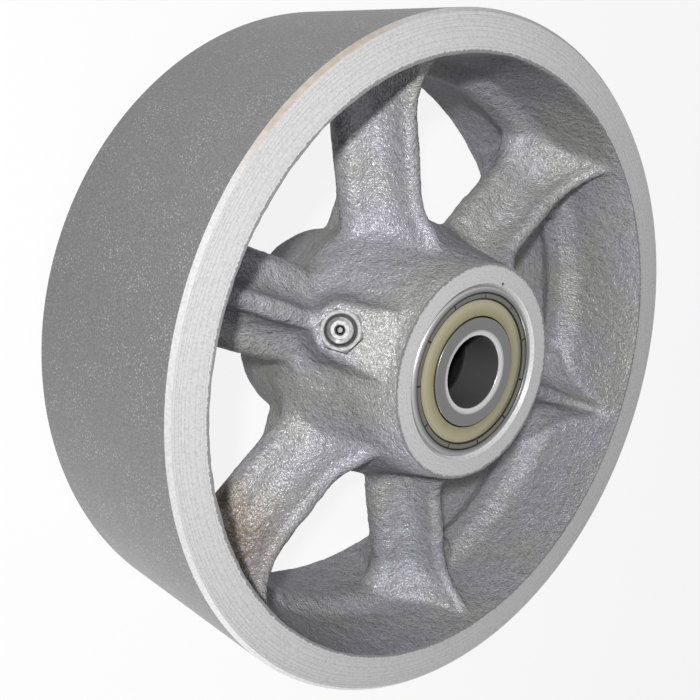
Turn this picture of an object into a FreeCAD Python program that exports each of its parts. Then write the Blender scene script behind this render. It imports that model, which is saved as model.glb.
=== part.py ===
import FreeCAD, Part

import math
import os

# Cast iron caster wheel with six cross-ribbed spokes and two ball bearings, in millimetres.
# The wheel's axis is +Z, the origin is its centre, and the spoke with the grease fitting is on +X.

V = FreeCAD.Vector
AXIS = V(0, 0, 1)
CENTRE = V(0, 0, 0)

# Rim
tread_diameter = 203.2
tread_width = 66.7
tread_edge_chamfer = 1.1
rim_face_width = 11.6
rim_wall_draft_deg = 4.0
rim_wall_edge_chamfer = 0.5
rim_middle_thickness = 17.6
bead_half_width = 2.5
bead_flank_width = 6.0
bead_root_radius = 5.0
bead_nose_radius = 3.0

# Hub
hub_length = 74.6
hub_face_width = 6.75
hub_flank_rise = 4.85
hub_flank_height = 16.0
hub_flank_rounding = 20.0
hub_collar_rise = 4.4
hub_collar_half_width = 4.0
hub_collar_rounding = 3.0
seat_shoulder_width = 3.0
seat_mouth_chamfer = 1.2
cutter_overrun = 1.0

# Spokes
spoke_count = 6
flange_half_width = 14.5
flange_tip_radius = 5.3
rib_half_height = 18.0
rib_tip_radius = 3.0
rib_rim_tip_radius = 1.2
valley_ratio = 0.565
valley_hub_growth = 0.5
valley_rim_growth = 0.9
flange_hub_fillet = 6.0
flange_rim_fillet = 7.5
rib_root_rise = 7.0
rib_root_reach = 8.0
rib_root_depth = 6.0
rib_rim_fillet = 22.0
rib_rim_reach = 14.0
rib_rim_rise = 10.0
spoke_hub_bite = 7.0
spoke_rim_bite = 0.5
spoke_sections = 17
flare_hold = 0.97

# Bearings
bearing_bore = 22.225
bearing_series_bore = 25.0
bearing_outer_diameter = 52.0
bearing_width = 15.0
bearing_corner_radius = 1.2
bore_bevel_width = 1.6
bore_bevel_depth = 0.5
bearing_land_rounding = 0.3
bearing_recess = 0.4
ball_count = 9
ball_section_share = 0.294
pitch_offset = 0.25
land_drop = 1.069
groove_conformity = 0.52
raceway_clearance = 0.03

# Shields
shield_thickness = 0.4
shield_gap = 0.4
shield_depth = 0.7
shield_step_height = 0.3
shield_step_offset = 1.0
shield_step_run = 0.4
shield_ledge_width = 1.6
shield_rim_height = 0.45
shield_rim_width = 1.5
shield_rim_rounding = 0.2
shield_mouth_flare = 0.15

# Cages
cage_thickness = 0.7
cage_land_clearance = 0.8
pocket_clearance = 0.12
rivet_diameter = 1.2
rivet_head_diameter = 2.2
rivet_head_height = 0.5

# Spacer between the two inner rings
spacer_land_step = 0.6
spacer_axle_clearance = 0.3
spacer_chamfer = 0.5

# Grease fitting and its boss
fitting_tilt_deg = 45.0
boss_face_stand = 6.6
boss_face_drop = 13.5
boss_nose_radius = 7.7
boss_wide_half = 9.6
boss_wide_reach = 13.5
boss_depth = 16.0
boss_draft = 5.0
fitting_shank_radius = 4.3
fitting_shank_length = 8.0
fitting_shank_chamfer = 0.5
fitting_hole_end_gap = 1.0
fitting_hex_across_flats = 11.0
fitting_hex_height = 3.4
fitting_hex_chamfer = 0.6
fitting_shoulder_radius = 4.7
fitting_shoulder_edge = 0.5
fitting_neck_radius = 2.5
fitting_shoulder_height = 1.6
fitting_neck_height = 2.2
fitting_head_radius = 3.6
fitting_head_height = 2.9
fitting_head_flat_radius = 2.5
fitting_head_lower_cone = 0.9
fitting_head_upper_cone = 0.8
fitting_rounding = 0.4
fitting_mouth_radius = 1.05
fitting_mouth_flare = 0.45
fitting_bore_radius = 1.5
fitting_seat_radius = 0.9
fitting_seat_length = 1.2
fitting_taper_share = 0.4
grease_passage_radius = 2.0
check_ball_diameter = 2.6
check_ball_gap = 0.1
spring_wire_diameter = 0.4
spring_clearance = 0.15
spring_turns = 5.0

# Sizes that follow
tread_radius = tread_diameter / 2
half_tread = tread_width / 2
half_hub = hub_length / 2
bearing_centre = half_hub - bearing_recess - bearing_width / 2
half_bearing = bearing_width / 2
ball_diameter = ball_section_share * (bearing_outer_diameter - bearing_series_bore)
ball_radius = ball_diameter / 2
pitch_radius = (bearing_outer_diameter + bearing_series_bore) / 4 + pitch_offset
groove_radius = groove_conformity * ball_diameter
inner_land_radius = pitch_radius - ball_radius + land_drop
outer_land_radius = pitch_radius + ball_radius - land_drop
cage_inner_radius = inner_land_radius + cage_land_clearance
cage_outer_radius = outer_land_radius - cage_land_clearance
shield_step_radius = pitch_radius + shield_step_offset
shield_rim_radius = outer_land_radius + shield_ledge_width
half_spacer = half_hub - bearing_recess - bearing_width
rim_face_inner_radius = tread_radius - rim_face_width
bead_crest_radius = tread_radius - rim_middle_thickness
hub_core_radius = bearing_outer_diameter / 2 - seat_shoulder_width
hub_face_radius = bearing_outer_diameter / 2 + hub_face_width
hub_flank_radius = hub_face_radius + hub_flank_rise
hub_collar_radius = hub_flank_radius + hub_collar_rise
rib_root_start = hub_collar_radius + rib_root_reach
rib_root_end = hub_collar_radius - rib_root_depth
rib_rim_start = bead_crest_radius - rib_rim_reach
spoke_inner_end = hub_core_radius + spoke_hub_bite
boss_face_radius = hub_flank_radius + boss_face_stand
boss_face_height = half_hub - boss_face_drop
spacer_outer_radius = inner_land_radius - spacer_land_step
spacer_bore_radius = bearing_bore / 2 + spacer_axle_clearance
shield_low = half_bearing - shield_depth - shield_step_height - shield_thickness
fitting_shoulder_top = fitting_hex_height + fitting_shoulder_height
fitting_neck_top = fitting_shoulder_top + fitting_neck_height
fitting_head_top = fitting_neck_top + fitting_head_height
fitting_seat_top = fitting_seat_length - fitting_shank_length
fitting_taper_low = fitting_head_top - fitting_mouth_flare - fitting_taper_share * check_ball_diameter
check_ball_height = fitting_taper_low - check_ball_gap


def share(x, start, end):
    """How far x has gone from start to end, from 0 to 1."""
    return min(max((x - start) / (end - start), 0.0), 1.0)


def wall_radius(height):
    """Radius of the rim's drafted inner wall at a height above the middle plane."""
    return rim_face_inner_radius - (half_tread - abs(height)) * math.tan(math.radians(rim_wall_draft_deg))


def rounded_outline(corners):
    """Closed wire in the XZ plane through (radius, height, rounding) corners."""
    count = len(corners)
    pieces = []
    for index, (x, z, rounding) in enumerate(corners):
        corner = V(x, 0, z)
        before = V(corners[index - 1][0], 0, corners[index - 1][1]) - corner
        after = V(corners[(index + 1) % count][0], 0, corners[(index + 1) % count][1]) - corner
        before.normalize()
        after.normalize()
        if rounding <= 0:
            pieces.append((corner, None, corner))
            continue
        half_angle = before.getAngle(after) / 2
        setback = rounding / math.tan(half_angle)
        bisector = (before + after).normalize()
        middle = corner + bisector * (rounding / math.sin(half_angle) - rounding)
        pieces.append((corner + before * setback, middle, corner + after * setback))
    edges = []
    for index, (start, middle, end) in enumerate(pieces):
        if middle is not None:
            edges.append(Part.Arc(start, middle, end).toShape())
        following = pieces[(index + 1) % count][0]
        if (following - end).Length > 1e-6:
            edges.append(Part.LineSegment(end, following).toShape())
    return Part.Wire(edges)


def turned(corners):
    """Solid of revolution about the wheel's axis."""
    return Part.Face(rounded_outline(corners)).revolve(CENTRE, AXIS, 360)


def tube(outer, inner, low, high, chamfer):
    """Plain tube with chamfered outer and inner edges."""
    return turned([
        (inner + chamfer, low, 0), (outer - chamfer, low, 0), (outer, low + chamfer, 0),
        (outer, high - chamfer, 0), (outer - chamfer, high, 0), (inner + chamfer, high, 0),
        (inner, high - chamfer, 0), (inner, low + chamfer, 0)])


def mirrored_corners(upper):
    """Corner list with its mirror image below the middle plane."""
    return upper + [(x, -z, rounding) for x, z, rounding in reversed(upper)]


def rim():
    foot = bead_half_width + bead_flank_width
    edge = rim_wall_edge_chamfer
    return turned(mirrored_corners([
        (bead_crest_radius, bead_half_width, bead_nose_radius),
        (wall_radius(foot), foot, bead_root_radius),
        (wall_radius(half_tread - edge), half_tread - edge, 0),
        (rim_face_inner_radius + edge, half_tread, 0),
        (tread_radius - tread_edge_chamfer, half_tread, 0),
        (tread_radius, half_tread - tread_edge_chamfer, 0)]))


def hub():
    return turned(mirrored_corners([
        (hub_core_radius, half_hub, 0),
        (hub_face_radius, half_hub, 0),
        (hub_flank_radius, hub_flank_height, hub_flank_rounding),
        (hub_collar_radius, hub_collar_half_width, hub_collar_rounding)]))


def flare(distance, radius):
    """Rise of a fillet of this radius at a distance past its start, held before it turns steep."""
    reach = min(max(distance, 0.0), flare_hold * radius)
    return radius - math.sqrt(radius * radius - reach * reach)


def flange_half_width_at(x):
    hub_start = math.sqrt((hub_collar_radius + flange_hub_fillet) ** 2
                          - (flange_half_width + flange_hub_fillet) ** 2)
    rim_start = math.sqrt((bead_crest_radius - flange_rim_fillet) ** 2
                          - (flange_half_width + flange_rim_fillet) ** 2)
    return flange_half_width + flare(hub_start - x, flange_hub_fillet) + flare(x - rim_start, flange_rim_fillet)


def rib_half_height_at(x):
    root = rib_root_rise * (1 - math.cos(math.pi * share(x, rib_root_start, rib_root_end))) / 2
    return rib_half_height + root + min(flare(x - rib_rim_start, rib_rim_fillet), rib_rim_rise)


def spoke_outer_end():
    return wall_radius(rib_half_height + rib_rim_rise) + spoke_rim_bite


def cross_section(x):
    """Cross of two flange tips and two rib tips joined by four hollow arcs, at a distance along the spoke."""
    width = flange_half_width_at(x)
    height = rib_half_height_at(x)
    near_rim = share(x, rib_rim_start, spoke_outer_end())
    near_hub = share(x, rib_root_start, spoke_inner_end)
    rib_tip = rib_tip_radius + (rib_rim_tip_radius - rib_tip_radius) * near_rim
    flange = V(x, width - flange_tip_radius, 0)
    rib = V(x, 0, height - rib_tip)
    span = (rib - flange).Length
    valley = span * (valley_ratio + valley_rim_growth * near_rim ** 2 + valley_hub_growth * near_hub ** 2)
    to_flange = valley + flange_tip_radius
    to_rib = valley + rib_tip
    along = (to_flange ** 2 - to_rib ** 2 + span ** 2) / (2 * span)
    across = math.sqrt(to_flange ** 2 - along ** 2)
    direction = (rib - flange).normalize()
    outward = V(0, direction.z, -direction.y)
    valley_centre = flange + direction * along + outward * across
    flange_touch = flange + (valley_centre - flange).normalize() * flange_tip_radius
    rib_touch = rib + (valley_centre - rib).normalize() * rib_tip
    chord_middle = (flange_touch + rib_touch) / 2
    valley_bottom = valley_centre + (chord_middle - valley_centre).normalize() * valley

    def place(point, side, up):
        return V(point.x, point.y * side, point.z * up)

    def arc(start, middle, end):
        return Part.Arc(start, middle, end).toShape()

    edges = []
    for side, up in ((1, 1), (-1, 1), (-1, -1), (1, -1)):
        start, end = (flange_touch, rib_touch) if side == up else (rib_touch, flange_touch)
        edges.append(arc(place(start, side, up), place(valley_bottom, side, up), place(end, side, up)))
        if side == up:
            edges.append(arc(place(rib_touch, side, up), V(x, 0, height * up), place(rib_touch, -side, up)))
        else:
            edges.append(arc(place(flange_touch, side, up), V(x, width * side, 0), place(flange_touch, side, -up)))
    return Part.Wire(edges)


def spoke():
    pitch = (spoke_outer_end() - spoke_inner_end) / (spoke_sections - 1)
    wires = [cross_section(spoke_inner_end + pitch * index) for index in range(spoke_sections)]
    return Part.makeLoft(wires, True, False)


def boss_frame(shape):
    """Turn a shape built on +Z about the origin so that it stands on the boss face along the fitting."""
    placed = shape.copy()
    placed.rotate(CENTRE, V(0, 1, 0), fitting_tilt_deg)
    placed.translate(V(boss_face_radius, 0, boss_face_height))
    return placed


def boss_outline(height, growth):
    """Outline with a round nose outboard and a wide end towards the hub face."""
    nose = boss_nose_radius + growth
    wide = boss_wide_half + growth
    lean = math.atan2(wide - nose, boss_wide_reach)
    top = V(nose * math.sin(-lean), nose * math.cos(lean), height)
    bottom = V(top.x, -top.y, height)
    far_top = V(-boss_wide_reach, wide, height)
    far_bottom = V(-boss_wide_reach, -wide, height)
    return Part.Wire([
        Part.Arc(bottom, V(nose, 0, height), top).toShape(),
        Part.LineSegment(top, far_top).toShape(),
        Part.LineSegment(far_top, far_bottom).toShape(),
        Part.LineSegment(far_bottom, bottom).toShape()])


def boss():
    wires = [boss_outline(-boss_depth, boss_draft), boss_outline(0, 0)]
    return boss_frame(Part.makeLoft(wires, True, True))


def bored_cutters():
    """Everything that is machined out of the casting."""
    seat_depth = bearing_width + bearing_recess
    core = Part.makeCylinder(hub_core_radius, hub_length, V(0, 0, -half_hub))
    cutters = [core]
    for side in (1, -1):
        seat_radius = bearing_outer_diameter / 2
        seat = turned([
            (0, half_hub - seat_depth, 0), (seat_radius, half_hub - seat_depth, 0),
            (seat_radius, half_hub - seat_mouth_chamfer, 0),
            (seat_radius + seat_mouth_chamfer + cutter_overrun, half_hub + cutter_overrun, 0),
            (0, half_hub + cutter_overrun, 0)])
        if side < 0:
            seat = seat.mirror(CENTRE, AXIS)
        cutters.append(seat)
    hole_depth = fitting_shank_length + fitting_hole_end_gap
    hole = Part.makeCylinder(fitting_shank_radius, hole_depth + cutter_overrun, V(0, 0, -hole_depth))
    passage_length = (boss_face_radius - hub_core_radius / 2) / math.sin(math.radians(fitting_tilt_deg))
    passage = Part.makeCylinder(grease_passage_radius, passage_length, V(0, 0, -passage_length))
    cutters.append(boss_frame(hole))
    cutters.append(boss_frame(passage))
    return cutters


def casting():
    arm = spoke()
    arms = []
    for index in range(spoke_count):
        turn = arm.copy()
        turn.rotate(CENTRE, AXIS, 360.0 * index / spoke_count)
        arms.append(turn)
    body = hub().fuse([rim(), boss()] + arms)
    body = body.cut(bored_cutters())
    return body.removeSplitter()


def outer_ring():
    outer = bearing_outer_diameter / 2
    corner = bearing_corner_radius
    mouth = shield_rim_radius + shield_mouth_flare
    blank = turned([
        (outer_land_radius, -half_bearing, bearing_land_rounding), (outer, -half_bearing, corner),
        (outer, half_bearing, corner), (mouth, half_bearing, shield_mouth_flare),
        (shield_rim_radius, half_bearing - 2 * shield_mouth_flare, 0), (shield_rim_radius, shield_low, 0),
        (outer_land_radius, shield_low, 0)])
    groove_centre = pitch_radius + ball_radius + raceway_clearance - groove_radius
    return blank.cut(Part.makeTorus(groove_centre, groove_radius))


def inner_ring():
    bore = bearing_bore / 2
    blank = turned(mirrored_corners([
        (bore, half_bearing - bore_bevel_depth, bearing_land_rounding),
        (bore + bore_bevel_width, half_bearing, bearing_land_rounding),
        (inner_land_radius, half_bearing, bearing_land_rounding)]))
    groove_centre = pitch_radius - ball_radius - raceway_clearance + groove_radius
    return blank.cut(Part.makeTorus(groove_centre, groove_radius))


def shield():
    """Pressed sheet ring with one raised step and a rolled rim that fills the outer ring's recess."""
    inner = inner_land_radius + shield_gap
    low = shield_low
    high = low + shield_step_height
    sheet = shield_thickness
    step = shield_step_radius
    run = shield_step_run
    rim_in = shield_rim_radius - shield_rim_width
    rim_top = low + sheet + shield_rim_height
    return turned([
        (inner, high, 0), (step, high, 0), (step + run, low, 0), (shield_rim_radius, low, 0),
        (shield_rim_radius, rim_top, shield_rim_rounding), (rim_in, rim_top, shield_rim_rounding),
        (rim_in, low + sheet, 0),
        (step + run, low + sheet, 0), (step, high + sheet, 0), (inner, high + sheet, 0)])


def around(shape, count, offset_deg):
    """Copies of a shape turned evenly about the wheel's axis."""
    copies = []
    for index in range(count):
        copy = shape.copy()
        copy.rotate(CENTRE, AXIS, offset_deg + 360.0 * index / count)
        copies.append(copy)
    return copies


def cage_half():
    """Upper half of the pressed cage: a flat ring with a round pocket over each ball."""
    pocket = ball_radius + pocket_clearance
    top = pocket + cage_thickness
    band = Part.makeCylinder(cage_outer_radius, top, CENTRE).cut(Part.makeCylinder(cage_inner_radius, top, CENTRE))
    flat = Part.makeCylinder(cage_outer_radius, cage_thickness, CENTRE)
    barrel = Part.makeCylinder(top, cage_outer_radius + cutter_overrun, CENTRE, V(1, 0, 0))
    hollow = Part.makeCylinder(pocket, cage_outer_radius + cutter_overrun, CENTRE, V(1, 0, 0))
    ribbon = flat.fuse(around(barrel, ball_count, 0.0)).common(band)
    rivet_hole = Part.makeCylinder(rivet_diameter / 2, 2 * top, V(pitch_radius, 0, -top))
    holes = around(rivet_hole, ball_count, 180.0 / ball_count)
    return ribbon.cut(around(hollow, ball_count, 0.0) + holes)


def rivets():
    shank = Part.makeCylinder(rivet_diameter / 2, 2 * cage_thickness, V(pitch_radius, 0, -cage_thickness))
    pieces = [shank]
    for side in (1, -1):
        foot = V(pitch_radius, 0, side * cage_thickness)
        pieces.append(Part.makeCone(rivet_head_diameter / 2, rivet_diameter / 2, rivet_head_height, foot,
                                    V(0, 0, side)))
    rivet = pieces[0].fuse(pieces[1:]).removeSplitter()
    return Part.makeCompound(around(rivet, ball_count, 180.0 / ball_count))


def fitting_body():
    hex_corner = fitting_hex_across_flats / math.sqrt(3)
    points = [V(hex_corner * math.cos(math.radians(60 * k)), hex_corner * math.sin(math.radians(60 * k)), 0)
              for k in range(7)]
    nut = Part.Face(Part.makePolygon(points)).extrude(V(0, 0, fitting_hex_height))
    flat_radius = fitting_hex_across_flats / 2
    crown = turned([
        (0, 0, 0), (hex_corner, 0, 0), (hex_corner, fitting_hex_height - fitting_hex_chamfer, 0),
        (flat_radius, fitting_hex_height, 0), (0, fitting_hex_height, 0)])
    tip = -fitting_shank_length
    edge = fitting_shank_chamfer
    stem = turned([
        (0, tip, 0), (fitting_shank_radius - edge, tip, 0), (fitting_shank_radius, tip + edge, 0),
        (fitting_shank_radius, edge, 0), (fitting_shoulder_radius, edge, 0),
        (fitting_shoulder_radius, fitting_hex_height + fitting_shoulder_edge, fitting_rounding),
        (fitting_neck_radius, fitting_shoulder_top, fitting_rounding),
        (fitting_neck_radius, fitting_neck_top, fitting_rounding),
        (fitting_head_radius, fitting_neck_top + fitting_head_lower_cone, fitting_rounding),
        (fitting_head_radius, fitting_head_top - fitting_head_upper_cone, fitting_rounding),
        (fitting_head_flat_radius, fitting_head_top, fitting_rounding), (0, fitting_head_top, 0)])
    solid = nut.common(crown).fuse(stem)
    mouth_low = fitting_head_top - fitting_mouth_flare
    waterway = turned([
        (0, tip - cutter_overrun, 0), (fitting_seat_radius, tip - cutter_overrun, 0),
        (fitting_seat_radius, fitting_seat_top, 0), (fitting_bore_radius, fitting_seat_top, 0),
        (fitting_bore_radius, fitting_taper_low, 0), (fitting_mouth_radius, mouth_low, 0),
        (fitting_mouth_radius + fitting_mouth_flare, fitting_head_top, 0),
        (fitting_mouth_radius + fitting_mouth_flare, fitting_head_top + cutter_overrun, 0),
        (0, fitting_head_top + cutter_overrun, 0)])
    return solid.cut(waterway).removeSplitter()


def check_ball():
    return Part.makeSphere(check_ball_diameter / 2, V(0, 0, check_ball_height))


def spring():
    """Coil between the seat in the shank and the check ball."""
    wire_radius = spring_wire_diameter / 2
    low = fitting_seat_top + wire_radius
    high = check_ball_height - check_ball_diameter / 2 - wire_radius - check_ball_gap
    coil_radius = fitting_bore_radius - spring_clearance - wire_radius
    height = high - low
    path = Part.makeHelix(height / spring_turns, height, coil_radius)
    path.translate(V(0, 0, low))
    wire = Part.Wire([Part.Circle(V(coil_radius, 0, low), V(0, 1, 0), wire_radius).toShape()])
    return Part.Wire(path.Edges).makePipeShell([wire], True, True)


def bearing_nodes(name, side):
    """Solids of one bearing; side is +1 in front and -1 behind."""
    def place(shape):
        placed = shape if side > 0 else shape.mirror(CENTRE, AXIS)
        moved = placed.copy()
        moved.translate(V(0, 0, side * bearing_centre))
        return moved

    half = cage_half()
    ball = Part.makeSphere(ball_radius, V(pitch_radius, 0, 0))
    solids = {
        name + "_outer_ring": place(outer_ring()),
        name + "_inner_ring": place(inner_ring()),
        name + "_shield": place(shield()),
        name + "_cage_outer_half": place(half),
        name + "_cage_inner_half": place(half.mirror(CENTRE, AXIS)),
        name + "_cage_rivets": place(rivets())}
    for index, copy in enumerate(around(ball, ball_count, 0.0)):
        solids["%s_ball_%d" % (name, index + 1)] = place(copy)
    return solids


def build():
    solids = {
        "wheel_casting": casting(),
        "spacer_tube": tube(spacer_outer_radius, spacer_bore_radius, -half_spacer, half_spacer, spacer_chamfer),
        "grease_fitting_body": boss_frame(fitting_body()),
        "grease_fitting_ball": boss_frame(check_ball()),
        "grease_fitting_spring": boss_frame(spring())}
    solids.update(bearing_nodes("front", 1))
    solids.update(bearing_nodes("rear", -1))
    return solids


os.makedirs("parts", exist_ok=True)
for node, shape in build().items():
    print(node, "valid" if shape.isValid() else "NOT VALID", len(shape.Solids), round(shape.Volume, 2))
    shape.exportStep("parts/%s.step" % node)
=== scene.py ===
import math

import bpy
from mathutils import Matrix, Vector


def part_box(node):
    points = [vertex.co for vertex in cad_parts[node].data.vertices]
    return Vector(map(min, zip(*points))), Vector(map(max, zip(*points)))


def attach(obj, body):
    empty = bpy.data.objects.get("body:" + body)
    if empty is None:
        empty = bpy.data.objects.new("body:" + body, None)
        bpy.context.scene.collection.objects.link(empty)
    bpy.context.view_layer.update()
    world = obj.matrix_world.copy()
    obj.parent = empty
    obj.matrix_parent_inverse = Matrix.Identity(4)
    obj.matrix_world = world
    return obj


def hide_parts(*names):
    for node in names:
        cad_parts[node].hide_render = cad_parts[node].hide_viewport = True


# Caster wheel: finish of the casting, its two bearings and the grease fitting.
# Lengths are in metres in the model's own frame: the axle runs along Z and the grease fitting is towards X.

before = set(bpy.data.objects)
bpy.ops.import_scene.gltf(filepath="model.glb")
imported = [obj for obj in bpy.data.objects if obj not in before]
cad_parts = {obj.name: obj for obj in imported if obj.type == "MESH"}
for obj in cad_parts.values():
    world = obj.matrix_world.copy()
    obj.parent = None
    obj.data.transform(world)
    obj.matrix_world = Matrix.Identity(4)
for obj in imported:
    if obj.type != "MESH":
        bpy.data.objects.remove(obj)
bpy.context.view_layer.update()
mm = 0.001

# Sizes that the turned and bored faces are cut to
tread_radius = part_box("wheel_casting")[1][0]
half_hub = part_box("wheel_casting")[1][2]
seat_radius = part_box("front_outer_ring")[1][0]
seat_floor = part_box("front_outer_ring")[0][2]
half_tread = 33.35 * mm
tread_edge_chamfer = 1.1 * mm
hub_face_radius = 32.75 * mm
rim_face_inner_radius = 90 * mm
torn_edge_width = 1.5 * mm
hub_step_radius = 60 * mm
seat_mouth_chamfer = 1.2 * mm

# Metal left on the rough casting before it is turned
allowance = 3 * mm
hub_face_taper = 0.98
seat_fill = 0.86
near = 0.1 * mm

# Rust on the rim's edge
rim_rust_place = (84 * mm, -57 * mm, 33 * mm)
rim_rust_reach = 34 * mm

# Rust on a spoke's rim end
spoke_rust_place = (51 * mm, 71 * mm, 2 * mm)
spoke_rust_reach = 27 * mm

# Pin holes in the casting, one on a spoke and one on the hub face: not cut, but painted as almost black spots
# of painted shade
spoke_pin_hole_shade = (40.4 * mm, -40 * mm, 12 * mm)
hub_pin_hole_shade = (0.5 * mm, -27.3 * mm, 37.3 * mm)
pin_hole_shade_reach = 0.6 * mm

# Fitting pad
fitting_tilt = math.radians(45)
boss_face_radius = 44.2 * mm
boss_face_height = 23.8 * mm
spotface_radius = 6.7 * mm
spotface_depth = 0.25 * mm
spotface_reach = 6 * mm
fitting_reach = 8 * mm

turned_segments = 256

# Shields
shield_inner_radius = 17.0 * mm
shield_step_radius = 20.4 * mm
shield_step_width = 0.4 * mm
shield_face_drop = 0.15 * mm
shield_ledge_drop = 0.45 * mm
shield_groove_radius = 22.1 * mm
groove_half_width = 0.1 * mm
groove_wall = 0.1 * mm
groove_drop = 0.8 * mm
rim_roll_width = 0.2 * mm
rim_roll_drop = 0.1 * mm
shield_clearance = 0.2 * mm
crimp_count = 11
crimp_segments = 396
crimp_offset = math.radians(21.9)
crimp_depth = 0.5 * mm
shield_sheet = 0.25 * mm

# Bands of colour across a shield, among them a painted highlight at the step and painted shade in the grooves
shield_band_start = 21 * mm
shield_band_width = 4 * mm
shield_step_middle = shield_step_radius + shield_step_width / 4

# Roots of the spokes, where the mould is well rounded
root_inner_radius = 33 * mm
root_outer_radius = 48 * mm
root_half_height = half_hub - 8 * mm
root_rounds = 10

# Grain of the mesh that the casting is remade in
voxel = 1.2 * mm


# Helpers for modelling

def only(piece):
    """Make this the one selected and active object."""
    bpy.ops.object.select_all(action="DESELECT")
    piece.select_set(True)
    bpy.context.view_layer.objects.active = piece


def open_with(piece, kind, chosen):
    """Open the mesh in edit mode with only the elements that chosen picks selected."""
    only(piece)
    bpy.ops.object.mode_set(mode="EDIT")
    bpy.ops.mesh.select_mode(type=kind)
    bpy.ops.mesh.select_all(action="DESELECT")
    bpy.ops.object.mode_set(mode="OBJECT")
    mesh = piece.data
    elements = {"VERT": mesh.vertices, "EDGE": mesh.edges, "FACE": mesh.polygons}[kind]
    for element in elements:
        element.select = chosen(element)
    bpy.ops.object.mode_set(mode="EDIT")


def close():
    bpy.ops.object.mode_set(mode="OBJECT")


def finish_with(piece, kind, **settings):
    """Add a modifier with these settings and apply it."""
    only(piece)
    modifier = piece.modifiers.new(kind.lower(), kind)
    for name, value in settings.items():
        setattr(modifier, name, value)
    bpy.ops.object.modifier_apply(modifier=modifier.name)


def settle(piece):
    """Put the object's place into its mesh."""
    only(piece)
    bpy.ops.object.transform_apply(location=True, rotation=True, scale=True)


def radius_of(point):
    return math.hypot(point.x, point.y)


def copy_of(node, name):
    """A separate copy of a model node with its loose triangles joined."""
    only(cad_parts[node])
    bpy.ops.object.duplicate()
    piece = bpy.context.active_object
    piece.name = name
    piece.data.name = name
    bpy.ops.object.mode_set(mode="EDIT")
    bpy.ops.mesh.select_all(action="SELECT")
    bpy.ops.mesh.remove_doubles(threshold=0.005 * mm)
    close()
    return piece


def cylinder(name, radius, low, high, segments=turned_segments):
    """Cylinder on the wheel's axis between two heights."""
    bpy.ops.mesh.primitive_cylinder_add(vertices=segments, radius=radius, depth=high - low,
                                        location=(0, 0, (low + high) / 2))
    piece = bpy.context.active_object
    piece.name = name
    settle(piece)
    return piece


def cut(piece, tool, operation):
    """Cut the piece with a tool and throw the tool away."""
    finish_with(piece, "BOOLEAN", object=tool, operation=operation, solver="MANIFOLD")
    bpy.data.objects.remove(tool)


# The casting

def leave_metal_on(piece):
    """Grow the surfaces that are turned and fill the bearing seats, as the foundry does."""
    open_with(piece, "VERT", lambda v: radius_of(v.co) > tread_radius - 2 * tread_edge_chamfer)
    growth = 1 + allowance / tread_radius
    bpy.ops.transform.resize(value=(growth, growth, 1), center_override=(0, 0, 0))
    close()
    for side in (1, -1):
        open_with(piece, "VERT", lambda v: side * v.co.z > half_tread - near
                  and radius_of(v.co) > hub_step_radius)
        bpy.ops.transform.translate(value=(0, 0, side * allowance))
        close()
        open_with(piece, "VERT", lambda v: side * v.co.z > half_hub - near)
        bpy.ops.transform.translate(value=(0, 0, side * allowance))
        bpy.ops.transform.resize(value=(hub_face_taper, hub_face_taper, 1), center_override=(0, 0, 0))
        close()
        open_with(piece, "VERT", lambda v: side * v.co.z > seat_floor - near
                  and radius_of(v.co) < seat_radius + 2 * seat_mouth_chamfer)
        bpy.ops.transform.resize(value=(seat_fill, seat_fill, 1), center_override=(0, 0, 0))
        close()


def roughen(piece, name, size, height):
    """Raise and sink the skin in lumps of one size, as a sand mould leaves it."""
    texture = bpy.data.textures.new(name, "CLOUDS")
    texture.noise_scale = size
    texture.noise_depth = 2
    finish_with(piece, "DISPLACE", texture=texture, texture_coords="LOCAL", strength=height, mid_level=0.5)


def is_level(mesh, edge):
    """Whether both ends of an edge are at the same height."""
    first, second = (mesh.vertices[index].co.z for index in edge.vertices)
    return abs(first - second) < near


def turning_envelope():
    """Body that holds what is left after the tread, the rim faces and the hub faces are turned."""
    body = cylinder("turning_envelope", tread_radius, -half_tread, half_tread)
    open_with(body, "EDGE", lambda e: is_level(body.data, e))
    bpy.ops.mesh.bevel(offset=tread_edge_chamfer, segments=1, affect="EDGES")
    close()
    for side in (1, -1):
        open_with(body, "FACE", lambda f: side * f.normal.z > 0.9)
        bpy.ops.mesh.inset(thickness=tread_radius - tread_edge_chamfer - hub_step_radius)
        rise = side * (half_hub - half_tread)
        bpy.ops.mesh.extrude_region_move(TRANSFORM_OT_translate={"value": (0, 0, rise)})
        close()
    return body


def seat_tool(side):
    """Boring tool for one bearing seat with its mouth chamfer."""
    tool = cylinder("seat_tool", seat_radius, seat_floor, half_hub)
    open_with(tool, "FACE", lambda f: f.normal.z > 0.9)
    bpy.ops.mesh.extrude_region_move(TRANSFORM_OT_translate={"value": (0, 0, allowance)})
    growth = 1 + allowance / seat_radius
    bpy.ops.transform.resize(value=(growth, growth, 1), center_override=(0, 0, 0))
    close()
    open_with(tool, "VERT", lambda v: abs(v.co.z - half_hub) < near)
    bpy.ops.transform.translate(value=(0, 0, -seat_mouth_chamfer))
    close()
    if side < 0:
        tool.scale = (1, 1, -1)
        settle(tool)
        bpy.ops.object.mode_set(mode="EDIT")
        bpy.ops.mesh.select_all(action="SELECT")
        bpy.ops.mesh.normals_make_consistent(inside=False)
        close()
    return tool


def spotface_tool():
    """Cutter that leaves a flat ring round the grease fitting."""
    along = (math.sin(fitting_tilt), math.cos(fitting_tilt))
    middle = spotface_reach / 2 - spotface_depth
    bpy.ops.mesh.primitive_cylinder_add(
        vertices=64, radius=spotface_radius, depth=spotface_reach, rotation=(0, fitting_tilt, 0),
        location=(boss_face_radius + middle * along[0], 0, boss_face_height + middle * along[1]))
    tool = bpy.context.active_object
    settle(tool)
    return tool


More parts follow.
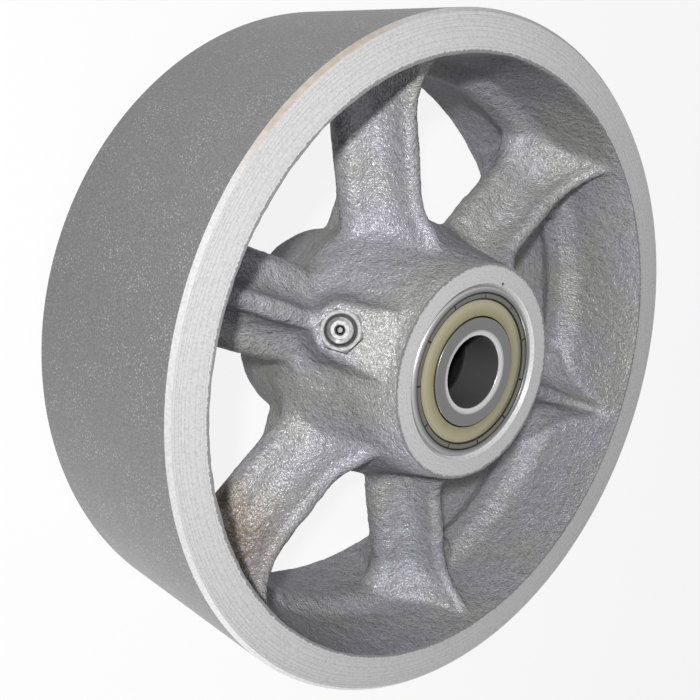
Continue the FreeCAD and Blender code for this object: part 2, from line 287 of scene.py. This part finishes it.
def cast_wheel():
    """The wheel as it is made: cast with metal to spare, then turned and bored."""
    piece = copy_of("wheel_casting", "cast_wheel")
    leave_metal_on(piece)
    finish_with(piece, "REMESH", mode="VOXEL", voxel_size=voxel)
    finish_with(piece, "SMOOTH", factor=0.5, iterations=3)
    open_with(piece, "VERT", lambda v: root_inner_radius < radius_of(v.co) < root_outer_radius
              and abs(v.co.z) < root_half_height)
    bpy.ops.mesh.vertices_smooth(factor=0.5, repeat=root_rounds)
    close()
    roughen(piece, "broad_unevenness", 11 * mm, 0.8 * mm)
    roughen(piece, "sand_grain", 2.2 * mm, 0.5 * mm)
    cut(piece, turning_envelope(), "INTERSECT")
    for side in (1, -1):
        cut(piece, seat_tool(side), "DIFFERENCE")
    cut(piece, spotface_tool(), "DIFFERENCE")
    only(piece)
    bpy.ops.object.shade_smooth_by_angle(angle=math.radians(35))
    return piece


def circle_on_axis(radius, height, segments):
    """Open circle on the wheel's axis, in edit mode, ready to be drawn out into a sheet."""
    bpy.ops.mesh.primitive_circle_add(vertices=segments, radius=radius, location=(0, 0, height))
    piece = bpy.context.active_object
    settle(piece)
    bpy.ops.object.mode_set(mode="EDIT")
    bpy.ops.mesh.select_mode(type="EDGE")
    bpy.ops.mesh.select_all(action="SELECT")
    return piece


def draw_out(profile):
    """Extrude the selected circle through (radius, height) points of a profile."""
    for (radius, height), (next_radius, next_height) in zip(profile, profile[1:]):
        bpy.ops.mesh.extrude_region_move(TRANSFORM_OT_translate={"value": (0, 0, next_height - height)})
        growth = next_radius / radius
        bpy.ops.transform.resize(value=(growth, growth, 1), center_override=(0, 0, 0))


def angle_between(first, second):
    return abs(math.remainder(first - second, 2 * math.pi))


def pressed_shield(name, side):
    """Pressed sheet shield whose rolled rim is crimped into the outer ring in eleven lengths."""
    ring = "front_shield" if side > 0 else "rear_shield"
    low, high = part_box(ring)
    outer = high[0]
    top = high[2] if side > 0 else -low[2]
    face = top - shield_face_drop
    ledge = top - shield_ledge_drop
    bottom = top - groove_drop
    groove_start = shield_groove_radius - groove_half_width
    groove_end = shield_groove_radius + groove_half_width
    rim_start = groove_end + 2 * groove_wall
    rim_end = outer - shield_clearance - groove_wall
    profile = [
        (shield_inner_radius, face), (shield_step_radius, face),
        (shield_step_radius + shield_step_width, ledge), (groove_start - groove_wall, ledge),
        (groove_start, bottom), (groove_end, bottom),
        (rim_start, top - rim_roll_drop), (rim_start + rim_roll_width, top),
        (rim_end - rim_roll_width, top), (rim_end, top - rim_roll_drop),
        (outer - shield_clearance, bottom)]
    piece = circle_on_axis(shield_inner_radius, face, crimp_segments)
    draw_out(profile)
    close()
    piece.name = name
    for index in range(crimp_count):
        turn = 2 * math.pi * index / crimp_count + crimp_offset
        open_with(piece, "VERT", lambda v: radius_of(v.co) > groove_end + groove_wall
                  and angle_between(math.atan2(v.co.y, v.co.x), turn) < math.pi / crimp_segments)
        bpy.ops.transform.translate(value=(0, 0, -crimp_depth))
        close()
    finish_with(piece, "SOLIDIFY", thickness=shield_sheet, offset=-1)
    if side < 0:
        piece.scale = (1, 1, -1)
        settle(piece)
    bpy.ops.object.mode_set(mode="EDIT")
    bpy.ops.mesh.select_all(action="SELECT")
    bpy.ops.mesh.normals_make_consistent(inside=False)
    close()
    bpy.ops.object.shade_smooth_by_angle(angle=math.radians(40))
    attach(piece, "wheel")
    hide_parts(ring)
    return piece


wheel = cast_wheel()
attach(wheel, "wheel")
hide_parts("wheel_casting")
shields = [pressed_shield("front_pressed_shield", 1), pressed_shield("rear_pressed_shield", -1)]


# Materials

def new_material(name, metallic, roughness):
    material = bpy.data.materials.new(name)
    material.use_nodes = True
    shader = material.node_tree.nodes["Principled BSDF"]
    shader.inputs["Metallic"].default_value = metallic
    shader.inputs["Roughness"].default_value = roughness
    return material


def add_node(owner, kind, **settings):
    """Add a node to a material or to the world."""
    node = owner.node_tree.nodes.new(kind)
    for name, value in settings.items():
        setattr(node, name, value)
    return node


def link(owner, source, target):
    owner.node_tree.links.new(source, target)


def place_on(material):
    """The point's place on the object."""
    return add_node(material, "ShaderNodeTexCoord").outputs["Object"]


def noise(material, grain, detail=2.0, roughness=0.5):
    """Noise whose lumps are about one grain across."""
    node = add_node(material, "ShaderNodeTexNoise")
    node.inputs["Scale"].default_value = 1 / grain
    node.inputs["Detail"].default_value = detail
    node.inputs["Roughness"].default_value = roughness
    link(material, place_on(material), node.inputs["Vector"])
    return node.outputs["Fac"]


def ramp(material, value, stops):
    """Colour ramp through (position, colour) stops."""
    node = add_node(material, "ShaderNodeValToRGB")
    elements = node.color_ramp.elements
    while len(elements) < len(stops):
        elements.new(0.5)
    for element, (position, colour) in zip(elements, stops):
        element.position = position
        element.color = (*colour, 1) if len(colour) == 3 else colour
    link(material, value, node.inputs["Fac"])
    return node.outputs["Color"]


def mixed(material, share, first, second, blend="MIX"):
    """Mix of two colours, each a socket or a plain colour; share is a socket or a number."""
    node = add_node(material, "ShaderNodeMix", data_type="RGBA", blend_type=blend)
    for name, value in (("Factor", share), ("A", first), ("B", second)):
        socket = node.inputs[name]
        if hasattr(value, "is_linked"):
            link(material, value, socket)
        elif isinstance(value, tuple):
            socket.default_value = (*value, 1)
        else:
            socket.default_value = value
    return node.outputs["Result"]


def math_node(owner, operation, *values):
    """Result of an operation on values, each a socket or a number."""
    node = add_node(owner, "ShaderNodeMath", operation=operation)
    for socket, value in zip(node.inputs, values):
        if hasattr(value, "is_linked"):
            link(owner, value, socket)
        else:
            socket.default_value = value
    return node.outputs["Value"]


def bump(material, height, distance, under=None):
    """Normal of a surface raised by a height, over another such normal if one is given."""
    node = add_node(material, "ShaderNodeBump")
    node.inputs["Distance"].default_value = distance
    link(material, height, node.inputs["Height"])
    if under is not None:
        link(material, under, node.inputs["Normal"])
    return node.outputs["Normal"]


def to_shader(material, **sockets):
    """Link values to the shader's sockets, named with underscores for spaces."""
    shader = material.node_tree.nodes["Principled BSDF"]
    for name, value in sockets.items():
        link(material, value, shader.inputs[name.replace("_", " ")])


def grey(level):
    return (level, level, level)


def near_place(material, place, reach, core=0.5):
    """1 round a place, fading to 0 at its reach."""
    away = add_node(material, "ShaderNodeVectorMath", operation="DISTANCE")
    link(material, place_on(material), away.inputs[0])
    away.inputs[1].default_value = place
    share = math_node(material, "DIVIDE", away.outputs["Value"], reach)
    return ramp(material, share, [(core, grey(1)), (1.0, grey(0))])


def cast_silver():
    """Aluminium paint over a sand-cast skin, with glinting wrinkles, two tints and some rust; painted shade
    darkens the low parts of the wrinkles and the grain, and painted highlight lightens the grain's tops.
    """
    material = new_material("silver_cast_skin", 0.24, 0.33)
    shader = material.node_tree.nodes["Principled BSDF"]
    shader.inputs["Specular IOR Level"].default_value = 0.0
    lumps = noise(material, 4 * mm, 2)
    wrinkles = noise(material, 1.4 * mm, 2, 0.5)
    sand = noise(material, 0.6 * mm, 1)
    warm = (0.405, 0.405, 0.395)
    lilac = (0.405, 0.40, 0.44)
    tint = ramp(material, noise(material, 24 * mm), [(0.38, warm), (0.6, lilac)])
    # Painted shade and highlight: the colour follows the wrinkle and grain heights, darker in their low parts
    # and lighter on the grain's tops.
    wrinkle_hollow_shade = ramp(material, wrinkles, [(0.32, grey(0.84)), (0.52, grey(1.0))])
    grain_shade_and_highlight = ramp(material, sand, [(0.3, grey(0.8)), (0.62, grey(1.1))])
    colour = mixed(material, 1.0, mixed(material, 1.0, tint, wrinkle_hollow_shade, "MULTIPLY"), grain_shade_and_highlight, "MULTIPLY")
    rusty = math_node(material, "MULTIPLY", near_place(material, spoke_rust_place, spoke_rust_reach),
                      ramp(material, noise(material, 0.9 * mm, 3, 0.7), [(0.40, grey(0)), (0.56, grey(0.8))]))
    colour = mixed(material, rusty, colour, (0.23, 0.15, 0.065))
    # Painted shade: an almost black spot where the spoke's pin hole would be.
    colour = mixed(material, near_place(material, spoke_pin_hole_shade, pin_hole_shade_reach), colour, grey(0.02))
    under = bump(material, lumps, 0.7 * mm)
    middle = bump(material, wrinkles, 0.42 * mm, under)
    to_shader(material, Base_Color=colour, Normal=bump(material, sand, 0.42 * mm, middle))
    return material


def axes_in(material):
    """The point's X, Y and Z as separate values."""
    split = add_node(material, "ShaderNodeSeparateXYZ")
    link(material, place_on(material), split.inputs["Vector"])
    return split.outputs


def radius_in(material):
    """Distance from the wheel's axis."""
    axes = axes_in(material)
    squares = [math_node(material, "MULTIPLY", axes[axis], axes[axis]) for axis in ("X", "Y")]
    return math_node(material, "SQRT", math_node(material, "ADD", *squares))


def turned_lines(material, pitch):
    """Uneven concentric lines that a turning tool leaves."""
    node = add_node(material, "ShaderNodeTexNoise", noise_dimensions="1D")
    node.inputs["Scale"].default_value = 1 / pitch
    node.inputs["Detail"].default_value = 2
    link(material, radius_in(material), node.inputs["W"])
    return node.outputs["Fac"]


def turned_face():
    """Painted turned face with fine tool lines, torn where it runs out into the cast skin."""
    material = new_material("turned_face", 0.05, 0.42)
    material.node_tree.nodes["Principled BSDF"].inputs["Specular IOR Level"].default_value = 0.2
    lines = turned_lines(material, 0.35 * mm)
    grain = noise(material, 0.6 * mm, 2)
    clean = mixed(material, 1.0, ramp(material, lines, [(0.35, grey(0.58)), (0.5, grey(0.68))]),
                  ramp(material, grain, [(0.35, grey(0.86)), (0.55, grey(1.0))]), "MULTIPLY")
    distance = radius_in(material)
    from_edge = math_node(material, "MAXIMUM", math_node(material, "SUBTRACT", hub_face_radius, distance),
                          math_node(material, "SUBTRACT", distance, rim_face_inner_radius))
    reach = math_node(material, "SUBTRACT", math_node(material, "DIVIDE", from_edge, torn_edge_width),
                      noise(material, 0.9 * mm, 2, 0.6))
    torn = ramp(material, reach, [(0.0, grey(1)), (0.08, grey(0))])
    # Painted shade: an almost black spot where the hub face's pin hole would be.
    with_hole_shade = mixed(material, near_place(material, hub_pin_hole_shade, pin_hole_shade_reach), clean, grey(0.02))
    to_shader(material, Base_Color=mixed(material, torn, with_hole_shade, grey(0.27)),
              Normal=bump(material, lines, 0.03 * mm))
    return material


def rim_edge():
    """Chamfer of the rim: painted metal that has begun to rust on one stretch."""
    material = new_material("rim_edge", 0.0, 0.6)
    stain = math_node(material, "MULTIPLY", near_place(material, rim_rust_place, rim_rust_reach, 0.6),
                      ramp(material, noise(material, 2.5 * mm, 3), [(0.35, grey(0.5)), (0.6, grey(1))]))
    clean = ramp(material, noise(material, 0.8 * mm), [(0.35, grey(0.46)), (0.6, grey(0.54))])
    to_shader(material, Base_Color=mixed(material, stain, clean, (0.42, 0.355, 0.29)))
    return material


def tread_paint():
    """Dull grey tread with light flecks in its paint, painted bright as the glints of the paint's sparkle."""
    material = new_material("grey_tread", 0.05, 0.45)
    grain = noise(material, 0.5 * mm, 3, 0.6)
    colour = ramp(material, grain, [(0.3, grey(0.125)), (0.7, grey(0.235))])
    # Painted highlight: the flecks are light paint made bright to stand for glints of the sparkle, in
    # patches.
    fleck_glint_cells = add_node(material, "ShaderNodeTexVoronoi")
    fleck_glint_cells.inputs["Scale"].default_value = 1 / (0.8 * mm)
    link(material, place_on(material), fleck_glint_cells.inputs["Vector"])
    fleck_glints = ramp(material, fleck_glint_cells.outputs["Distance"], [(0.1, grey(1)), (0.32, grey(0))])
    patches = ramp(material, noise(material, 9 * mm, 3), [(0.42, grey(0.25)), (0.62, grey(0.9))])
    share = math_node(material, "MULTIPLY", fleck_glints, patches)
    to_shader(material, Base_Color=mixed(material, share, colour, grey(0.6)),
              Normal=bump(material, grain, 0.1 * mm))
    return material


def ground_steel(name, level, roughness, pitch, metallic=1.0):
    """Steel with fine ground lines round the axis."""
    material = new_material(name, metallic, roughness)
    lines = turned_lines(material, pitch)
    marks = noise(material, 3 * mm)
    colour = mixed(material, 1.0, ramp(material, lines, [(0.3, grey(level * 0.85)), (0.7, grey(level))]),
                   ramp(material, marks, [(0.3, grey(0.9)), (0.7, grey(1.0))]), "MULTIPLY")
    to_shader(material, Base_Color=colour, Normal=bump(material, lines, 0.01 * mm))
    return material


def race_steel_painted_highlights():
    """Ground rings: dull faces and a dark bore, with painted highlights: bright bands on the rounded corners
    at the bore's mouth and at the outer edge.
    """
    material = new_material("ground_race_steel_painted_highlights", 0.75, 0.34)
    # Painted highlights: by distance from the axis, the rounded corners are made much brighter than the
    # faces, all the way round.
    level = ramp(material, math_node(material, "DIVIDE", radius_in(material), seat_radius),
                 [(0.428, grey(0.2)), (0.434, grey(0.62)), (0.475, grey(0.58)), (0.50, grey(0.2)),
                  (0.94, grey(0.2)), (0.965, grey(0.34)), (0.995, grey(0.6))])
    lines = turned_lines(material, 0.3 * mm)
    ground = ramp(material, lines, [(0.3, grey(0.85)), (0.7, grey(1.0))])
    colour = mixed(material, 1.0, level, ground, "MULTIPLY")
    to_shader(material, Base_Color=colour, Normal=bump(material, lines, 0.01 * mm))
    return material


def yellow_zinc():
    """Yellow plated shield whose crimped rim is bare, with a painted highlight as a light band at its step
    and painted shade, almost black and dull, in its grooves, at its outer edge and at the crimp notches.
    """
    material = new_material("yellow_zinc", 0.6, 0.36)
    stain = noise(material, 5 * mm, 3)
    yellow = ramp(material, stain, [(0.3, (0.22, 0.195, 0.09)), (0.5, (0.255, 0.232, 0.12)),
                                    (0.7, (0.235, 0.226, 0.148))])
    distance = radius_in(material)
    across = math_node(material, "DIVIDE", math_node(material, "SUBTRACT", distance, shield_band_start),
                       shield_band_width)
    rim = ramp(material, across, [(0.3, grey(0)), (0.36, grey(1))])
    # Painted highlight: a light band along the step where the face drops to the ledge.
    from_step = math_node(material, "ABSOLUTE", math_node(material, "SUBTRACT", distance, shield_step_middle))
    step = ramp(material, from_step, [(0.0, grey(1)), (0.35 * mm, grey(0))])
    with_step_highlight = mixed(material, step, yellow, (0.40, 0.37, 0.25))
    colour = mixed(material, rim, with_step_highlight, (0.15, 0.148, 0.12))
    # Painted shade: the grooves, the outer edge and the crimp notches are made almost black, dull and not
    # metallic.
    grooves = ramp(material, across, [(0.16, grey(0)), (0.20, grey(1)), (0.31, grey(1)), (0.35, grey(0)),
                                      (0.62, grey(0)), (0.66, grey(1))])
    axes = axes_in(material)
    turn = math_node(material, "ARCTAN2", axes["Y"], axes["X"])
    turned = math_node(material, "SUBTRACT", turn, crimp_offset)
    counted = math_node(material, "MULTIPLY", turned, crimp_count / (2 * math.pi))
    lengths = math_node(material, "FRACT", counted)
    middle = math_node(material, "ABSOLUTE", math_node(material, "SUBTRACT", lengths, 0.5))
    ends = ramp(material, middle, [(0.475, grey(0)), (0.485, grey(1))])
    crimps = math_node(material, "MULTIPLY", rim, ends)
    groove_and_notch_shade = math_node(material, "MAXIMUM", grooves, crimps)
    to_shader(material, Base_Color=mixed(material, groove_and_notch_shade, colour, grey(0.008)),
              Roughness=ramp(material, groove_and_notch_shade, [(0.0, grey(0.36)), (1.0, grey(0.8))]),
              Metallic=ramp(material, groove_and_notch_shade, [(0.0, grey(0.6)), (1.0, grey(0))]),
              Normal=bump(material, noise(material, 0.6 * mm), 0.01 * mm))
    return material


def fitting_steel():
    """Zinc plated fitting: bright turned head over a dull dark hexagon, with painted shade: dark round the
    ball, almost black at the middle, and a dark ring round the neck.
    """
    material = new_material("zinc_fitting_steel", 0.8, 0.3)
    away = add_node(material, "ShaderNodeVectorMath", operation="SUBTRACT")
    link(material, place_on(material), away.inputs[0])
    away.inputs[1].default_value = (boss_face_radius, 0, boss_face_height)
    across = add_node(material, "ShaderNodeVectorMath", operation="CROSS_PRODUCT")
    link(material, away.outputs["Vector"], across.inputs[0])
    across.inputs[1].default_value = (math.sin(fitting_tilt), 0, math.cos(fitting_tilt))
    length = add_node(material, "ShaderNodeVectorMath", operation="LENGTH")
    link(material, across.outputs["Vector"], length.inputs[0])
    reach = math_node(material, "DIVIDE", length.outputs["Value"], fitting_reach)
    worn = noise(material, 0.8 * mm, 3)
    # Painted shade by distance from the fitting's axis: dark round the ball and almost black at its middle,
    # and a dark ring round the neck below the head.
    level = ramp(material, reach,
                 [(0.14, grey(0.05)), (0.18, grey(0.17)), (0.30, grey(0.22)), (0.33, grey(0.6)),
                  (0.43, grey(0.6)), (0.45, grey(0.09)), (0.55, grey(0.09)), (0.58, grey(0.42)),
                  (0.68, grey(0.42)), (0.72, grey(0.3))])
    wear = ramp(material, worn, [(0.35, grey(0.6)), (0.6, grey(1))])
    colour = mixed(material, 1.0, level, wear, "MULTIPLY")
    to_shader(material, Base_Color=colour,
              Roughness=ramp(material, reach, [(0.30, grey(0.5)), (0.33, grey(0.36)), (0.45, grey(0.36)),
                                               (0.48, grey(0.6))]),
              Metallic=ramp(material, reach, [(0.54, grey(0.7)), (0.58, grey(0.15))]),
              Normal=bump(material, worn, 0.03 * mm))
    return material


def give(node, material):
    """Give a model node's slots one material."""
    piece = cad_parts[node]
    for slot in piece.material_slots:
        slot.material = material
    if not piece.material_slots:
        piece.data.materials.append(material)


skin = cast_silver()
face = turned_face()
tread = tread_paint()
edge = rim_edge()
wheel.data.materials.clear()
for material in (skin, face, tread, edge):
    wheel.data.materials.append(material)


def paint_faces(piece, index, chosen):
    """Give the faces that chosen picks the material at this place in the list."""
    open_with(piece, "FACE", chosen)
    piece.active_material_index = index
    bpy.ops.object.material_slot_assign()
    close()


def on_turned_face(f):
    height = abs(f.center.z)
    return abs(f.normal.z) > 0.99 and (height > half_hub - near or abs(height - half_tread) < near)


def on_seat_mouth(f):
    mouth_edge = seat_radius + 1.1 * seat_mouth_chamfer
    return abs(f.center.z) > seat_floor - near and radius_of(f.center) < mouth_edge


paint_faces(wheel, 0, lambda f: True)
paint_faces(wheel, 1, lambda f: on_turned_face(f) or on_seat_mouth(f))
paint_faces(wheel, 2, lambda f: radius_of(f.center) > tread_radius - near and abs(f.normal.z) < 0.1)
paint_faces(wheel, 3, lambda f: radius_of(f.center) > tread_radius - 2 * tread_edge_chamfer
            and 0.1 < abs(f.normal.z) < 0.9)

race_steel = race_steel_painted_highlights()
ball_steel = ground_steel("polished_ball_steel", 0.6, 0.08, 0.5 * mm)
cage_steel = ground_steel("pressed_cage_steel", 0.45, 0.3, 0.5 * mm)
# Painted shade: the spacer tube deep in the bore is made almost black and barely shiny, so that it stands for
# the shade there.
tube_steel = ground_steel("drawn_tube_steel_painted_shade", 0.012, 0.6, 0.4 * mm, 0.0)
tube_steel.node_tree.nodes["Principled BSDF"].inputs["Specular IOR Level"].default_value = 0.1
zinc_steel = fitting_steel()
shield_zinc = yellow_zinc()
for shield in shields:
    shield.data.materials.append(shield_zinc)
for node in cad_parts:
    if "ring" in node and "spring" not in node:
        give(node, race_steel)
    elif "ball" in node or "spring" in node:
        give(node, ball_steel)
    elif "cage" in node:
        give(node, cage_steel)
    elif "shield" in node:
        give(node, shield_zinc)
    elif node == "spacer_tube":
        give(node, tube_steel)
    elif node == "grease_fitting_body":
        give(node, zinc_steel)


# Floor, light and camera

def seen_directly(owner):
    """1 for what the camera, a mirror or glass sees, and 0 for the light that falls on things."""
    paths = add_node(owner, "ShaderNodeLightPath")
    seen = paths.outputs["Is Camera Ray"]
    for way in ("Is Glossy Ray", "Is Transmission Ray"):
        seen = math_node(owner, "MAXIMUM", seen, paths.outputs[way])
    return seen


def floor():
    """Pale floor that shows the wheel's shadow but throws little light back up."""
    bpy.ops.mesh.primitive_plane_add(size=6, location=(0, 0, -half_hub))
    piece = bpy.context.active_object
    piece.name = "floor"
    material = bpy.data.materials.new("pale_floor")
    material.use_nodes = True
    nodes = material.node_tree.nodes
    shader = nodes["Principled BSDF"]
    shader.inputs["Roughness"].default_value = 0.9
    seen = seen_directly(material)
    link(material, mixed(material, seen, grey(0.2), grey(0.8)), shader.inputs["Base Color"])
    glow = add_node(material, "ShaderNodeEmission")
    glow.inputs["Color"].default_value = (1, 1, 1, 1)
    share = math_node(material, "MULTIPLY", seen, 0.88)
    mix = add_node(material, "ShaderNodeMixShader")
    link(material, share, mix.inputs[0])
    link(material, shader.outputs[0], mix.inputs[1])
    link(material, glow.outputs[0], mix.inputs[2])
    link(material, mix.outputs[0], nodes["Material Output"].inputs["Surface"])
    piece.data.materials.append(material)


def studio():
    """Soft even light all round, on a white background."""
    world = bpy.data.worlds.new("studio")
    bpy.context.scene.world = world
    world.use_nodes = True
    nodes = world.node_tree.nodes
    soft = nodes["Background"]
    soft.inputs["Color"].default_value = (1, 1, 1, 1)
    soft.inputs["Strength"].default_value = 0.08
    white = add_node(world, "ShaderNodeBackground")
    white.inputs["Color"].default_value = (1, 1, 1, 1)
    white.inputs["Strength"].default_value = 1
    mix = add_node(world, "ShaderNodeMixShader")
    link(world, seen_directly(world), mix.inputs[0])
    link(world, soft.outputs[0], mix.inputs[1])
    link(world, white.outputs[0], mix.inputs[2])
    link(world, mix.outputs[0], nodes["World Output"].inputs["Surface"])


def lamp(name, place, size, power):
    """Square soft lamp that points at the wheel."""
    bpy.ops.object.light_add(type="AREA", location=place)
    piece = bpy.context.active_object
    piece.name = name
    piece.data.size = size
    piece.data.energy = power
    aim = -piece.location
    piece.rotation_euler = aim.to_track_quat("-Z", "Y").to_euler()


def camera():
    """Camera that stands as the photograph's did, worked out from the wheel's outlines."""
    focal_pixels = 990.468
    image_pixels = 700
    optical_centre = (388.48, 374.61)
    film = 36
    data = bpy.data.cameras.new("camera")
    data.sensor_width = film
    data.lens = film * focal_pixels / image_pixels
    data.shift_x = (image_pixels / 2 - optical_centre[0]) / image_pixels
    data.shift_y = (optical_centre[1] - image_pixels / 2) / image_pixels
    piece = bpy.data.objects.new("camera", data)
    bpy.context.scene.collection.objects.link(piece)
    piece.location = (227.79 * mm, 0, 223.07 * mm)
    piece.rotation_euler = [math.radians(turn) for turn in (-18.6391, -42.8926, -155.8822)]
    data.clip_start = 0.01
    bpy.context.scene.camera = piece


floor()
studio()
# A small lamp casts the hard shadows; a lamp low beside the tread stands for the light off a white table.
lamp("key_lamp", (0.360, -0.038, 0.315), 0.022, 2.15)
lamp("table_lamp", (0.04, 0.42, 0.03), 0.12, 1.2)
camera()
bpy.context.scene.view_settings.view_transform = "Standard"
